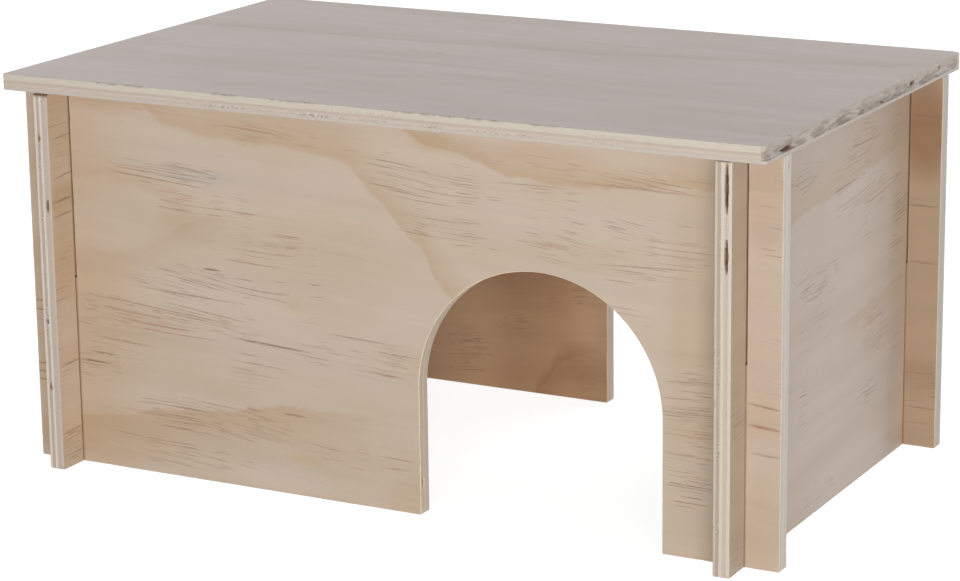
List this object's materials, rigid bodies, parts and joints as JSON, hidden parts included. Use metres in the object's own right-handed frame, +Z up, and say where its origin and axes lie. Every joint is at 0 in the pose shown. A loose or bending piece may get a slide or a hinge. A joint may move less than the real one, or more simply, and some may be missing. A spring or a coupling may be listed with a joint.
{
  "type": "wooden hamster house",
  "caption": "Plug-together plywood house for a hamster: slotted walls that cross at the corners, an arched doorway in each long wall, no floor and a loose flat roof.",
  "frame": {"origin": "on the ground, under the middle of the house's outer box", "axes": "+X along the long walls towards the end the doorways are nearer to, +Y from the front wall to the back wall, +Z up"},
  "size_m": [0.25, 0.155, 0.1235],
  "materials": {
    "long_wall_plywood": "bare sanded pine plywood, warm and pale",
    "short_wall_plywood": "bare sanded pine plywood, greyer and slightly darker",
    "roof_plywood": "bare sanded pine plywood, grey-mauve",
    "batten_pine": "planed bare pine strip"
  },
  "bodies": {
    "walls": {"front_panel": "long_wall_plywood", "back_panel": "long_wall_plywood", "left_panel": "short_wall_plywood", "right_panel": "short_wall_plywood"},
    "roof": {"roof_panel": "roof_plywood", "roof_batten_left": "batten_pine", "roof_batten_right": "batten_pine"}
  },
  "joints": [
    {"name": "roof_lift", "type": "slide", "parent": "walls", "child": "roof", "axis": [0, 0, 1], "range_m": [0, 0.15]}
  ]
}
